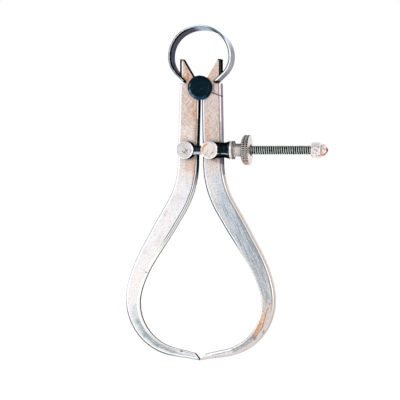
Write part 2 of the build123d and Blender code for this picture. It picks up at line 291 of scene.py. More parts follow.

# tones run down the face. outer and inner are the strips of painted highlight and shade on each
# edge, from the front round to the back, in an upper and a lower run; innerPlain takes over at the
# toe. The painted shade under the outer edge comes in between two turns round it (underFrom)
# and two distances out (underPast)
leftLeg = dict(legLook,
    tones=[
        (-11.7, paint(210, 186, 164)), (-20, paint(214, 192, 178)), (-28, paint(210, 191, 180)),
        (-36, paint(222, 207, 198)), (-44, paint(228, 213, 202)), (-51, paint(232, 220, 215)),
        (-58, paint(240, 237, 238)), (-80, paint(242, 240, 241)), (-92, paint(246, 239, 238)),
        (-102, paint(243, 240, 240)), (-122, paint(230, 234, 235)),
    ],
    outer=[
        [(0.01, bare), (0.03, paint(204, 194, 202)), (0.06, paint(206, 196, 202)),
         (0.09, paint(255, 254, 252)), (0.2, paint(252, 250, 250)), (0.27, paint(190, 184, 196)),
         (1.0, paint(182, 176, 188))],
        [(0.01, bare), (0.04, paint(255, 255, 255)), (0.18, paint(252, 252, 252)),
         (0.25, paint(178, 184, 198)), (1.0, paint(168, 174, 190))],
    ],
    inner=[
        [(0.02, bare), (0.05, paint(120, 112, 110)), (0.14, paint(116, 112, 112)),
         (0.2, paint(206, 208, 210)), (0.42, paint(186, 190, 194)), (0.5, paint(28, 30, 32)),
         (1.0, paint(10, 11, 12))],
        [(0.01, bare), (0.03, paint(80, 96, 110)), (0.15, paint(80, 96, 110)),
         (0.21, paint(250, 250, 250)), (0.3, paint(246, 246, 244)), (0.35, paint(130, 138, 142)),
         (0.42, paint(146, 150, 152)), (0.48, paint(232, 232, 228)), (0.82, paint(224, 222, 216)),
         (0.9, paint(66, 58, 52)), (1.0, paint(50, 44, 40))],
    ],
    innerPlain=[
        (0.2, bare), (0.28, paint(255, 253, 250)), (0.68, paint(250, 248, 246)),
        (0.78, paint(86, 68, 60)), (1.0, paint(66, 56, 50)),
    ],
    outerUnderShade=paint(104, 112, 114),
    underFrom=(0.12, 0.24),
    underPast=(6.0, 14.0),
    brush=0.0,
    upperLowerEdge=(-50.0, -61.0),
    stains=[((-4.9, -15.4), (-4.6, -19.6), 0.15, 0.5, paint(208, 120, 48), 0.95),
            ((-5.9, -16.8), (-5.6, -20.6), 0.1, 0.6, paint(214, 160, 112), 0.7),
            ((-3.6, -17.8), (-3.2, -19.4), 0.1, 0.5, paint(230, 166, 112), 0.7),
            ((-2.1, -25.6), (-1.5, -42.0), 0.4, 0.9, paint(206, 142, 92), 0.8),
            ((-2.2, -48.4), (-1.9, -56.0), 0.3, 1.3, paint(222, 166, 118), 0.7),
            ((-4.6, -24.6), (-3.6, -34.0), 0.4, 1.4, paint(216, 176, 148), 0.4),
            ((-4.3, -48.6), (-4.6, -52.0), 0.4, 1.4, paint(214, 180, 160), 0.5),
            ((-4.4, -58.0), (-8.5, -66.0), 0.4, 2.2, paint(230, 230, 236), 0.7),
            ((-24.4, -103.0), (-23.3, -108.0), 0.1, 2.2, paint(206, 214, 216), 0.7),
            ((-23.0, -108.2), (-20.2, -112.9), 0.1, 2.0, paint(162, 178, 184), 0.85),
            ((-20.2, -112.9), (-15.7, -116.8), 0.4, 1.0, paint(154, 170, 176), 0.9),
            ((-15.7, -116.8), (-8.9, -119.6), 0.25, 0.7, paint(152, 166, 172), 0.9),
            ((-8.9, -119.6), (-1.8, -121.2), 0.2, 0.5, paint(178, 190, 194), 0.8)],
    streaks=[((-12.5, -67.4), (-13.2, -69.4), 0.08, 0.3, paint(226, 170, 128), 0.6),
             ((-0.9, -34.0), (-0.9, -43.0), 0.15, 0.4, paint(92, 92, 86), 0.65)],
    lines=[((-6.66, -12.9), (-6.6, -19.8), 0.1, 0.2, paint(255, 252, 248), 0.9),
           ((-7.35, -12.0), (-7.3, -20.4), 0.36, 0.12, paint(18, 28, 34), 1.0),
           ((-7.5, -11.75), (-6.5, -11.75), 0.16, 0.2, paint(36, 48, 66), 1.0),
           ((-20.15, -90.0), (-20.05, -90.2), 0.14, 0.2, paint(96, 84, 78), 0.8),
           ((-6.9, -118.9), (-6.5, -119.0), 0.12, 0.25, paint(70, 58, 54), 0.9),
           ((-2.2, -119.6), (-1.4, -120.3), 0.02, 0.12, paint(90, 66, 60), 0.6),
           ((-0.9, -120.9), (-0.2, -121.9), 0.05, 0.17, paint(50, 32, 26), 1.0)],
    grainDark=0.38,
    scratches=0.6)

rightLeg = dict(legLook,
    tones=[
        (-11.7, paint(214, 200, 192)), (-20, paint(208, 192, 184)), (-30, paint(214, 198, 192)),
        (-40, paint(208, 188, 176)), (-50, paint(226, 213, 208)), (-57, paint(230, 224, 224)),
        (-64, paint(216, 219, 222)), (-80, paint(196, 201, 203)), (-92, paint(192, 195, 198)),
        (-104, paint(206, 202, 200)), (-114, paint(222, 222, 222)), (-122, paint(240, 238, 236)),
    ],
    outer=[
        [(0.01, bare), (0.04, paint(124, 128, 140)), (0.15, paint(130, 132, 144)),
         (0.22, paint(222, 210, 208)), (0.44, paint(212, 198, 200)), (0.53, paint(150, 142, 152)),
         (0.64, paint(156, 148, 158)), (0.74, paint(204, 194, 196)), (0.86, paint(186, 178, 184)),
         (1.0, paint(112, 110, 122))],
        [(0.01, bare), (0.04, paint(120, 130, 142)), (0.16, paint(128, 136, 146)),
         (0.24, paint(228, 218, 212)), (0.44, paint(226, 216, 212)), (0.51, paint(182, 174, 174)),
         (0.6, paint(188, 178, 178)), (0.68, paint(250, 244, 240)), (0.88, paint(242, 232, 226)),
         (0.95, paint(214, 200, 192)), (1.0, paint(164, 150, 144))],
    ],
    inner=[
        [(0.01, bare), (0.03, paint(255, 255, 255)), (0.15, paint(252, 252, 252)),
         (0.21, paint(98, 114, 138)), (1.0, paint(68, 82, 106))],
        [(0.01, bare), (0.03, paint(252, 252, 252)), (0.16, paint(250, 250, 250)),
         (0.23, paint(82, 96, 114)), (1.0, paint(62, 72, 88))],
    ],
    innerPlain=[
        (0.16, bare), (0.24, paint(226, 226, 226)), (0.4, paint(212, 210, 210)),
        (1.0, paint(210, 208, 210)),
    ],
    outerUnderShade=paint(208, 200, 198),
    underFrom=(0.0, 0.02),
    underPast=(0.0, 1.0),
    brushTurn=-24,
    brush=0.75,
    upperLowerEdge=(-48.0, -60.0),
    stains=[((6.6, -55.0), (9.8, -64.0), 0.2, 3.6, paint(194, 208, 216), 0.7),
            ((9.8, -64.0), (16.4, -77.2), 0.4, 4.0, paint(178, 195, 205), 0.7),
            ((16.4, -77.2), (20.4, -86.0), 0.4, 3.6, paint(180, 194, 202), 0.7),
            ((20.4, -86.0), (23.2, -96.0), 0.3, 3.0, paint(172, 186, 194), 0.65),
            ((12.0, -79.0), (18.4, -91.0), 0.1, 1.6, paint(184, 176, 172), 0.6),
            ((13.6, -67.5), (18.0, -76.5), 0.1, 1.0, paint(134, 144, 158), 0.6),
            ((18.0, -76.5), (22.2, -84.5), 0.1, 1.0, paint(142, 146, 156), 0.6),
            ((22.2, -84.5), (24.6, -93.0), 0.1, 0.9, paint(152, 154, 160), 0.55),
            ((4.1, -16.8), (3.8, -18.8), 0.1, 0.9, paint(242, 186, 140), 0.85),
            ((6.2, -14.2), (5.6, -16.8), 0.1, 0.5, paint(220, 180, 158), 0.6),
            ((3.5, -32.4), (3.6, -32.9), 0.12, 0.4, paint(222, 146, 90), 0.8),
            ((2.6, -34.0), (3.2, -40.6), 0.3, 1.0, paint(224, 178, 146), 0.5),
            ((8.0, -34.0), (8.1, -42.0), 0.2, 0.6, paint(180, 168, 172), 0.5),
            ((4.4, -48.6), (6.6, -49.2), 0.2, 0.7, paint(180, 140, 112), 0.7),
            ((22.9, -99.5), (22.9, -103.6), 0.1, 1.2, paint(222, 196, 180), 0.6),
            ((23.7, -104.2), (22.5, -108.8), 0.1, 1.4, paint(226, 180, 146), 0.8),
            ((22.4, -108.4), (20.0, -113.4), 0.1, 1.4, paint(218, 156, 104), 0.9),
            ((20.0, -113.6), (13.2, -117.8), 0.6, 1.5, paint(160, 160, 158), 0.85)],
    # the first three streaks are painted shade down the right side of the right post
    streaks=[((7.5, -35.0), (7.8, -42.4), 0.1, 0.5, paint(120, 122, 130), 0.6),
             ((8.3, -47.6), (8.4, -49.4), 0.5, 0.9, paint(80, 88, 100), 0.85),
             ((8.4, -49.4), (8.7, -53.6), 0.1, 0.7, paint(126, 130, 142), 0.6),
             ((25.0, -97.0), (25.0, -101.0), 0.1, 0.6, paint(150, 156, 162), 0.6),
             ((25.9, -101.6), (24.6, -108.2), 0.15, 0.5, paint(230, 188, 154), 0.75),
             ((24.6, -108.2), (22.3, -112.4), 0.1, 0.45, paint(230, 192, 160), 0.7),
             ((25.6, -102.6), (23.6, -109.4), 0.05, 0.35, paint(124, 124, 128), 0.75),
             ((23.6, -109.4), (20.9, -113.6), 0.05, 0.35, paint(128, 122, 122), 0.75),
             ((14.0, -117.9), (5.0, -120.3), 0.04, 0.3, paint(150, 168, 190), 0.7)],
    # the first line is a painted shadow beside the fulcrum head
    lines=[((4.9, -21.2), (5.1, -24.4), 0.05, 0.8, paint(92, 100, 116), 0.6),
           ((4.4, -24.0), (8.2, -25.4), 0.07, 0.18, paint(84, 52, 48), 1.0),
           ((6.3, -11.8), (7.5, -11.8), 0.25, 0.3, paint(20, 26, 34), 1.0),
           # these two pale lines are painted light along the upper outline of the toe
           ((15.8, -115.7), (13.2, -116.9), 0.1, 0.25, paint(232, 238, 242), 0.5),
           ((13.2, -116.9), (2.2, -119.7), 0.15, 0.3, paint(232, 238, 242), 0.65),
           ((7.25, -12.2), (7.25, -19.4), 0.2, 0.18, paint(8, 10, 10), 1.0),
           ((26.05, -101.1), (26.15, -101.3), 0.15, 0.2, paint(206, 122, 60), 0.9),
           ((20.7, -113.7), (20.5, -114.1), 0.12, 0.3, paint(158, 108, 70), 0.8),
           ((24.1, -110.9), (23.7, -111.9), 0.08, 0.3, paint(116, 120, 142), 0.75),
           ((6.1, -120.9), (6.0, -121.0), 0.08, 0.15, paint(150, 110, 84), 0.7)],
    grainDark=0.5,
    scratches=0.35)


def edgeLightStrips(tree, across, below, runs):
    # colour and cover of one edge's painted highlights and shades, from its upper and its lower run
    # of strips
    high, low = [ramp(tree, across, stops) for stops in runs]
    cover = calc(tree, "MAXIMUM", high["Alpha"], low["Alpha"])
    return tint(tree, below, high["Color"], low["Color"]), cover


def paintEdgeLight(tree, face, place, look):
    # strips of painted highlight and shade lie where the surface has turned so far from the front,
    # outwards or inwards
    spot = split(tree, place)
    height = spot["Z"]
    flat = vector(tree, "MULTIPLY", facing(tree), (1, 0, 1))
    turned = vector(tree, "LENGTH", flat)
    sink = calc(tree, "MINIMUM", calc(tree, "SUBTRACT", height, look["workCentreZ"] * mm), 0.0)
    outwards = add(tree, "ShaderNodeCombineXYZ", {"X": spot["X"], "Z": sink}).outputs[0]
    side = calc(tree, "SIGN", share(tree, outwards, flat))
    depth = slope(tree, spot["Y"], -look["sideDepth"], look["sideDepth"])
    across = times(tree, turned, side, calc(tree, "MULTIPLY", calc(tree, "ADD", depth, 1.0), 0.5))
    below = fadeMm(tree, height, *look["upperLowerEdge"])
    # outer edge, with painted shade underneath at the toe
    colour, cover = edgeLightStrips(tree, across, below, look["outer"])
    underShade = times(tree, fadeMm(tree, height, *look["toeUnder"]),
                  fade(tree, across, *look["underFrom"]),
                  fadeMm(tree, calc(tree, "ABSOLUTE", spot["X"]), *look["underPast"]))
    face = tint(tree, cover, face, tint(tree, underShade, colour, look["outerUnderShade"]))
    # inner edge, plain at the toe
    inner = times(tree, across, -1.0)
    colour, cover = edgeLightStrips(tree, inner, below, look["inner"])
    toe = ramp(tree, inner, look["innerPlain"])
    plain = fadeMm(tree, height, *look["toePlain"])
    cover = calc(tree, "ADD", times(tree, cover, calc(tree, "SUBTRACT", 1.0, plain)),
                 times(tree, toe["Alpha"], plain))
    face = tint(tree, cover, face, tint(tree, plain, colour, toe["Color"]))
    # painted shade on the horns' sides
    return layer(tree, face, look["hornSideShade"], fade(tree, turned, 0.8, 0.92),
                 fadeMm(tree, height, *look["horns"]))


def groundSteel(tree, face, place, grain, clouds, look):
    # grain, soft clouds and tinted specks, and hairlines that cross near the fulcrum
    height = split(tree, place)["Z"]
    speck = noise(tree, vector(tree, "ADD", place, look["speckShift"]), look["specks"], 2.0)
    upper = fadeMm(tree, height, *look["scratched"])
    face = layer(tree, face, look["grainShade"], fade(tree, grain, 0.5, 0.64), look["grainDark"],
                 how="MULTIPLY")
    face = layer(tree, face, look["grainShine"], fade(tree, grain, 0.47, 0.36),
                 look["shineStrength"])
    face = layer(tree, face, look["cloud"], fade(tree, clouds, 0.45, 0.7), look["cloudStrength"],
                 how="MULTIPLY")
    face = layer(tree, face, look["warmSpeck"], fade(tree, speck, 0.55, 0.66), upper,
                 look["speckStrength"])
    face = layer(tree, face, look["coolSpeck"], fade(tree, speck, 0.44, 0.36), upper,
                 look["speckStrength"])
    for turn in look["hairTurns"]:
        hair = longMarks(tree, place, turn, *look["hairSize"], 1.0)
        for colour, low, high, strength in look["hairs"]:
            face = layer(tree, face, colour, fade(tree, hair, low, high), upper,
                         strength * look["scratches"])
    if not look["brush"]:
        return face
    # brushed lines along the lower bar
    brush = times(tree, fadeMm(tree, height, *look["brushTop"]),
                  fadeMm(tree, height, *look["brushFoot"]), look["brush"])
    brushed = longMarks(tree, place, look["brushTurn"], *look["brushSize"], 2.0)
    face = layer(tree, face, look["brushDark"], fade(tree, brushed, 0.52, 0.66), brush)
    face = layer(tree, face, look["brushPale"], fade(tree, brushed, 0.46, 0.34), brush, 0.7)
    return layer(tree, face, look["brushWarm"], fade(tree, speck, 0.53, 0.63), brush, 0.6)


def legSteel(name, look):
    material, tree, place = startMaterial(name)
    # a place that strays, for stains with uneven edges
    stray = noise(tree, place, look["wanderSize"], 3.0, 0.6, "Color")
    stray = vector(tree, "SUBTRACT", stray, (0.5, 0.5, 0.5))
    loose = vector(tree, "ADD", place, scaled(tree, stray, 2 * look["wander"] * mm))
    grain = noise(tree, place, look["grain"], 3.0, 0.7)
    clouds = noise(tree, place, look["clouds"])
    top, foot = look["tones"][0][0], look["tones"][-1][0]
    stops = [((z - top) / (foot - top), colour) for z, colour in look["tones"]]
    face = ramp(tree, slope(tree, split(tree, place)["Z"], top, foot), stops)["Color"]
    face = drawMarks(tree, face, loose, look["stains"])
    face = groundSteel(tree, face, place, grain, clouds, look)
    face = paintEdgeLight(tree, face, place, look)
    # marks over everything
    face = drawMarks(tree, face, loose, look["streaks"])
    face = drawMarks(tree, face, place, look["lines"])
    face = paintCreaseShade(tree, face, *look["creaseShade"])
    finishMetal(tree, face, look, grain, calc(tree, "ADD", grain, clouds))
    return material


dress("left_leg", legSteel("leftLegSteel", leftLeg))
dress("right_leg", legSteel("rightLegSteel", rightLeg))
print("legs dressed")

# turned pieces. In their coats a limit names a measure and the two values between which the
# colour comes in: reach is the distance from the piece's axis, along the place on that axis,
# level how high round it a place lies (1 at the top, -1 at the foot), and the rest are patterns


def around(tree, place, centre, axis):
    # distance from an axis through centre, the direction away from it, and the place along it
    off = vector(tree, "SUBTRACT", place, Vector(centre) * mm)
    flat = vector(tree, "MULTIPLY", off, (1 - axis[0], 1 - axis[1], 1 - axis[2]))
    return {"reach": vector(tree, "LENGTH", flat), "way": vector(tree, "NORMALIZE", flat),
            "along": share(tree, place, axis)}


def aroundScrew(tree, place):
    return around(tree, place, (0, screwY, postZ), alongX)


bluedLook = {
    "steel": paint(12, 30, 38),
    "streaks": (72, 5.0, 0.6, 3.0),  # turn, length, width and detail
    "rings": 0.5,
    "blotches": 1.4,
    "coats": [
        (paint(24, 50, 58), ("streaks", 0.56, 0.75)),
        (paint(24, 50, 58), ("rings", 0.55, 0.7), 0.6),
        # the chamfer: a painted highlight low on the left, blue below, browned on the right
        (paint(88, 108, 128), ("reach", 3.4, 3.5), ((-0.88, 0, -0.47), 0.4, 0.95),
         ("blotches", 0.36, 0.58)),
        (paint(26, 62, 84), ("reach", 3.4, 3.5), ((0.1, 0, -1), 0.75, 0.95), 0.8),
        (paint(62, 44, 46), ("reach", 3.3, 3.5), ("reach", 3.75, 3.6), ((0.98, 0, -0.2), 0.8, 0.98),
         0.5),
    ],
    "roughness": 0.25,
    "roughSpread": 0.25,
    "relief": 0.015,
}


def bluedHead():
    material, tree, place = startMaterial("bluedFulcrumSteel")
    at = around(tree, place, (0, 0, fulcrumZ), alongY)
    at["streaks"] = longMarks(tree, place, *bluedLook["streaks"])
    at["rings"] = turningMarks(tree, 0.0, at["reach"], bluedLook["rings"])
    at["blotches"] = noise(tree, place, bluedLook["blotches"])
    face = coats(tree, bluedLook["steel"], bluedLook["coats"], at)
    finishMetal(tree, face, bluedLook, at["blotches"], at["streaks"])
    return material


sleeveLook = {
    "steel": paint(14, 26, 30),
    "marks": 0.45,
    "patches": 1.6,
    "glintLevel": -0.48,  # where a painted highlight runs as a bright line: 1 is the top of the sleeve, -1 its foot
    "coats": [
        (paint(48, 74, 80), ("marks", 0.55, 0.8), 0.7),
        (paint(60, 46, 38), ("patches", 0.58, 0.72), 0.5),
        # a painted highlight: a bright line low on the front
        (paint(176, 192, 198), ("fromGlint", 0.09, 0.03), (forwards, 0.0, 0.2),
         ("patches", 0.4, 0.55), 0.8),
        (paint(70, 84, 90), ("reach", 3.1, 3.25), ("patches", 0.3, 0.6), 0.6),
    ],
    "roughness": 0.16,
    "roughSpread": 0.3,
    "relief": 0.01,
}


def bluedSleeve():
    material, tree, place = startMaterial("bluedSleeveSteel")
    at = aroundScrew(tree, place)
    at["marks"] = turningMarks(tree, at["along"], 0.0, sleeveLook["marks"])
    at["patches"] = noise(tree, place, sleeveLook["patches"])
    at["fromGlint"] = distance(tree, share(tree, at["way"], upwards), sleeveLook["glintLevel"])
    face = coats(tree, sleeveLook["steel"], sleeveLook["coats"], at)
    finishMetal(tree, face, sleeveLook, at["patches"], at["marks"])
    return material


postLook = {
    "fileMarks": [(28, 0.56), (-52, 0.58), (84, 0.6)],  # turn, and where in the noise they begin
    "fileSoft": 0.07,
    "fileSize": (3.4, 0.5),
    "fileColour": paint(158, 144, 136),
    "fileStrength": 0.6,
    "cutSize": (0.05, 0.22),
    "cutColour": paint(120, 92, 76),
    "cutStrength": 0.85,
    "specks": 0.5,
    "blotches": 1.5,
    "faceCoats": [(paint(214, 186, 172), ("specks", 0.52, 0.66), 0.35)],
    # near-black sides, partly dark steel and partly painted shade, and a painted highlight round
    # the rim
    "sideCoats": [
        ([paint(14, 18, 20), (paint(66, 50, 42), ("blotches", 0.5, 0.75))], ("front", 0.5, 0.3)),
        (paint(255, 255, 255), ("front", 0.4, 0.55), ("front", 0.97, 0.88)),
    ],
    "creaseShade": (1.0, paint(16, 16, 18), 0.7),
    "roughness": 0.2,
    "roughSpread": 0.2,
    "relief": 0.012,
}

leftPost = dict(postLook,
    centre=(-postX, 0, postZ),
    steel=paint(217, 217, 220),
    cuts=[((-5.4, -45.6), (-4.3, -46.4)), ((-4.2, -44.6), (-3.4, -46.2)),
          ((-4.6, -46.0), (-3.3, -44.9))])

rightPost = dict(postLook,
    centre=(postX, 0, postZ),
    steel=paint(231, 223, 219),
    cuts=[((5.4, -46.6), (6.2, -45.9))],
    faceCoats=postLook["faceCoats"] + [
        # an arc of rust at the upper left
        (paint(218, 140, 82), ("reach", 1.9, 2.1), ("reach", 2.6, 2.4),
         ((-0.86, 0, 0.5), 0.55, 0.85), ("specks", 0.25, 0.42)),
    ])


def postSteel(name, look):
    material, tree, place = startMaterial(name)
    at = around(tree, place, look["centre"], alongY)
    at["front"] = share(tree, facing(tree), forwards)
    at["specks"] = noise(tree, place, look["specks"], 2.0)
    at["blotches"] = noise(tree, place, look["blotches"])
    # file marks and a few deep cuts across the bright face
    face = look["steel"]
    for turn, begin in look["fileMarks"]:
        marks = longMarks(tree, place, turn, *look["fileSize"], 2.0)
        face = layer(tree, face, look["fileColour"],
                     fade(tree, marks, begin, begin + look["fileSoft"]), look["fileStrength"])
    for start, end in look["cuts"]:
        cut = (start, end, *look["cutSize"], look["cutColour"], look["cutStrength"])
        face = drawMarks(tree, face, place, [cut])
    face = coats(tree, face, look["faceCoats"] + look["sideCoats"], at)
    face = paintCreaseShade(tree, face, *look["creaseShade"])
    finishMetal(tree, face, look, at["specks"], at["specks"])
    return material


screwLook = {
    "shank": paint(30, 38, 44),
    "patches": 1.3,
    "coats": [
        # a painted highlight along the underside of the shank
        (paint(208, 216, 218), ((0, 0, -1), 0.2, 0.7)),
        (paint(52, 64, 70), ("patches", 0.5, 0.7), 0.6),
        # the thread: bright crests with green tarnish over a dark root
        ([paint(10, 20, 22), ([paint(206, 212, 208), (paint(98, 112, 88), ("patches", 0.5, 0.72))],
                              ("reach", 1.56, 1.65))], ("along", 9.2, 9.4)),
    ],
    "creaseShade": (0.8, paint(10, 12, 14), 0.6),
    "roughness": 0.2,
    "roughSpread": 0.3,
    "relief": 0.01,
}


def screwSteel():
    material, tree, place = startMaterial("threadedScrewSteel")
    at = aroundScrew(tree, place)
    at["patches"] = noise(tree, place, screwLook["patches"])
    face = coats(tree, screwLook["shank"], screwLook["coats"], at)
    face = paintCreaseShade(tree, face, *screwLook["creaseShade"])
    finishMetal(tree, face, screwLook, at["patches"], at["patches"])
    return material


# plated pieces on the screw

dullNickel = paint(172, 164, 160)
endFaceShade = paint(84, 78, 76)
# colour of painted shade in hollows
hollowShade = paint(30, 27, 26)
rust = paint(202, 112, 52)

nickelLook = {
    "steel": paint(228, 224, 222),
    "patches": 1.1,
    "coats": [(dullNickel, ("marks", 0.5, 0.68), 0.8), (dullNickel, ("patches", 0.52, 0.68), 0.45)],
    "roughness": 0.18,
    "roughSpread": 0.3,
    "relief": 0.01,
}


def nickelFace(tree, place, look):
    # bright plating with turning marks and dull patches
    at = aroundScrew(tree, place)
    at["marks"] = turningMarks(tree, at["along"], at["reach"], look["marks"])
    at["patches"] = noise(tree, place, look["patches"], 4.0)
    at["level"] = share(tree, at["way"], upwards)
    at["endOn"] = calc(tree, "ABSOLUTE", share(tree, facing(tree), alongX))
    return coats(tree, look["steel"], look["coats"], at), at


washerLook = dict(nickelLook,
    marks=0.6,
    ownCoats=[
        (paint(244, 238, 234), 0.5),
        # painted shade on the faces that look along the screw
        (endFaceShade, ("endOn", 0.3, 0.6), 0.8),
    ],
    creaseShade=(0.7, hollowShade, 0.9))


def washerNickel():
    material, tree, place = startMaterial("nickelWasher")
    face, at = nickelFace(tree, place, washerLook)
    face = coats(tree, face, washerLook["ownCoats"], at)
    face = paintCreaseShade(tree, face, *washerLook["creaseShade"])
    finishMetal(tree, face, washerLook, at["patches"], at["marks"])
    return material


nutLook = dict(nickelLook,
    marks=0.5,
    specks=0.6,
    teeth=44,
    grooveX=18.4,
    rimCoats=[
        # the knurl: bright crests, greyer on the upper half as painted shade
        ([paint(255, 252, 246), (paint(160, 164, 176), ("level", 0.0, 0.5))],
         ("along", 17.4, 17.5), ("along", 19.4, 19.3)),
        # its valleys in painted shade, which runs out over the shoulder
        (hollowShade, ("along", 17.4, 17.5), ("along", 19.4, 19.3), ("reach", 5.46, 5.38)),
        (hollowShade, ("comb", 0.1, -0.4), ("along", 17.45, 17.35), ("reach", 4.7, 5.0), 0.85),
        # the groove round the band
        ([paint(222, 214, 210), (paint(204, 170, 144), ("specks", 0.55, 0.65))],
         ("fromGroove", 0.3, 0.15), 0.75),
    ],
    # middle and radius of each rust spot
    spots=[((18.2, -10.2, -46.9), 0.6), ((17.8, -9.4, -49.2), 0.7), ((18.6, -9.3, -49.2), 0.6),
           ((18.2, -7.4, -50.4), 0.8)],
    bodyCoats=[
        # the neck, darker and browner towards the top
        (paint(182, 174, 172), ("along", 13.6, 13.8), ("along", 16.25, 16.05), 0.6),
        (paint(110, 94, 84), ("along", 13.6, 13.8), ("along", 16.25, 16.05), ("level", 0.3, 0.9),
         0.7),
        # the pinkish outer face of the rim, the pale flange with painted shade on its ends, and
        # painted shade in the bore
        (paint(252, 244, 242), ("along", 19.35, 19.45), 0.55),
        ([paint(214, 212, 212), (paint(92, 88, 88), ("endOn", 0.5, 0.8))], ("along", 13.7, 13.6)),
        (hollowShade, ("reach", 2.4, 2.0), ("along", 19.35, 19.55)),
    ],
    creaseShade=(0.7, hollowShade, 1.0))


def nutNickel():
    material, tree, place = startMaterial("nickelNut")
    face, at = nickelFace(tree, place, nutLook)
    at["specks"] = noise(tree, place, nutLook["specks"], 2.0)
    at["fromGroove"] = distance(tree, at["along"], nutLook["grooveX"] * mm)
    part = split(tree, at["way"])
    angle = calc(tree, "ARCTAN2", part["Z"], part["Y"])
    at["comb"] = calc(tree, "COSINE", times(tree, angle, nutLook["teeth"]))
    face = coats(tree, face, nutLook["rimCoats"], at)
    for centre, radius in nutLook["spots"]:
        near = vector(tree, "DISTANCE", place, Vector(centre) * mm)
        face = layer(tree, face, rust, fadeMm(tree, near, radius, 0.3 * radius),
                     fade(tree, at["specks"], 0.3, 0.45), 0.9)
    face = coats(tree, face, nutLook["bodyCoats"], at)
    face = paintCreaseShade(tree, face, *nutLook["creaseShade"])
    finishMetal(tree, face, nutLook, at["patches"], at["marks"])
    return material


capStain = paint(226, 168, 132)

capLook = dict(nickelLook,
    marks=0.7,
    specks=0.7,
    footLevel=-0.72,
    ownCoats=[
        (paint(244, 238, 238), 0.5),
        # the barrel: a white painted highlight on top, brown specks below, and a stained line at
        # its foot
        (paint(255, 255, 255), ("level", 0.2, 0.8), 0.8),
        (paint(158, 138, 134), ("specks", 0.47, 0.6), ("steep", 0.75, 0.3), 0.8),
        (rust, ("fromFoot", 0.12, 0.04), ("patches", 0.4, 0.55), 0.7),
        # a stained groove, then the dome: bright in the middle and rusty round its outline
        (capStain, ("along", 45.7, 45.8), ("along", 46.1, 46.0)),
        (capStain, ("along", 46.1, 46.2), ("steep", 0.85, 0.96)),
        (rust, ("along", 46.1, 46.2), ("level", -0.6, -0.88), ("specks", 0.3, 0.5)),
        (paint(184, 74, 34), ("along", 47.48, 47.74)),
    ])


def capNickel():
    material, tree, place = startMaterial("nickelCap")
    face, at = nickelFace(tree, place, capLook)
    at["specks"] = noise(tree, place, capLook["specks"])
    at["steep"] = calc(tree, "ABSOLUTE", at["level"])
    at["fromFoot"] = distance(tree, at["level"], capLook["footLevel"])
    face = coats(tree, face, capLook["ownCoats"], at)
    finishMetal(tree, face, capLook, at["patches"], at["marks"])
    return material


dress("fulcrum_stud", bluedHead())
dress("thrust_sleeve", bluedSleeve())
dress("left_post", postSteel("leftPostSteel", leftPost))
dress("right_post", postSteel("rightPostSteel", rightPost))
dress("adjusting_screw", screwSteel())
dress("thrust_washer", washerNickel())
dress("knurled_nut", nutNickel())
dress("screw_end_cap", capNickel())

# turned steel at the back: rings about the axis, painted shade towards the bore
backLook = {
    "steel": paint(198, 192, 188),
    "rings": 0.35,
    "patches": 1.7,
    "coats": [
        (paint(150, 146, 144), ("rings", 0.4, 0.62)),
        (paint(142, 114, 94), ("patches", 0.5, 0.75), 0.6),
    ],
    "creaseShade": (0.9, paint(30, 28, 28), 0.8),
    "roughness": 0.25,
    "roughSpread": 0.25,
    "relief": 0.012,
}


def backSteel(name, centre):
    material, tree, place = startMaterial(name)
    at = around(tree, place, centre, alongY)
    at["rings"] = turningMarks(tree, 0.0, at["reach"], backLook["rings"])
    at["patches"] = noise(tree, place, backLook["patches"], 4.0)
    face = coats(tree, backLook["steel"], backLook["coats"], at)
    face = paintCreaseShade(tree, face, *backLook["creaseShade"])
    finishMetal(tree, face, backLook, at["patches"], at["rings"])
    return material


dress("fulcrum_disc", backSteel("turnedDiscSteel", (0, 0, fulcrumZ)))
dress("left_post_washer", backSteel("leftWasherSteel", (-postX, 0, postZ)))
dress("right_post_washer", backSteel("rightWasherSteel", (postX, 0, postZ)))
print("turned pieces dressed")

# bow, in two halves that meet at the crown

bow = {
    "radius": 11.7,
    "thickness": 0.8,
    "width": 8.6,
    "centreZ": -10.9,
    "hookRadius": 9.0,
    "hookTurn": 46.0,
    "endLength": 4.5,
    "lean": 6.2,  # degrees that the front edge stands above the back one at the crown
    "edgeRound": 0.3,
    "cornerSteps": 3,
    "archSteps": 44,
    "hookSteps": 18,
    "endSteps": 5,
    "sharpAngle": 40.0,
}


def bowPath():
    # points down the outer side of the right half, with the direction outwards
    def arc(centreX, radius, degrees):
        turn = math.radians(degrees)
        out = Vector((math.cos(turn), 0, math.sin(turn)))
        return Vector((centreX, 0, bow["centreZ"])) + out * radius, out
    path = [arc(0, bow["radius"], 90 - 90 * step / bow["archSteps"])
            for step in range(bow["archSteps"] + 1)]
    hookX = bow["radius"] - bow["hookRadius"]
    path += [arc(hookX, bow["hookRadius"], -bow["hookTurn"] * step / bow["hookSteps"])
             for step in range(1, bow["hookSteps"] + 1)]
    last, out = path[-1]
    way = Vector((out.z, 0, -out.x))
    path += [(last + way * bow["endLength"] * step / bow["endSteps"], out)
             for step in range(1, bow["endSteps"] + 1)]
    return path


def stripSection():
    # rounded section of the strip as points (depth in from the outer side, y), walked from the
    # outer side over the front edge to the inner side and round the back, and the finish of the
    # facet that starts at each point
    thick, half, r = bow["thickness"], bow["width"] / 2, bow["edgeRound"]
    corners = [
        (r, r - half, 180, "edge", "edge"),
        (thick - r, r - half, 270, "corner", "inside"),
        (thick - r, half - r, 0, "edge", "edge"),
        (r, half - r, 90, "edge", "outside"),
    ]
    points, facets = [], []
    for depth, y, start, rounded, flat in corners:
        for part in range(bow["cornerSteps"] + 1):
            turn = math.radians(start + 90 * part / bow["cornerSteps"])
            points.append((depth + r * math.cos(turn), y + r * math.sin(turn)))
            facets.append(flat if part == bow["cornerSteps"] else rounded)
    return points, facets


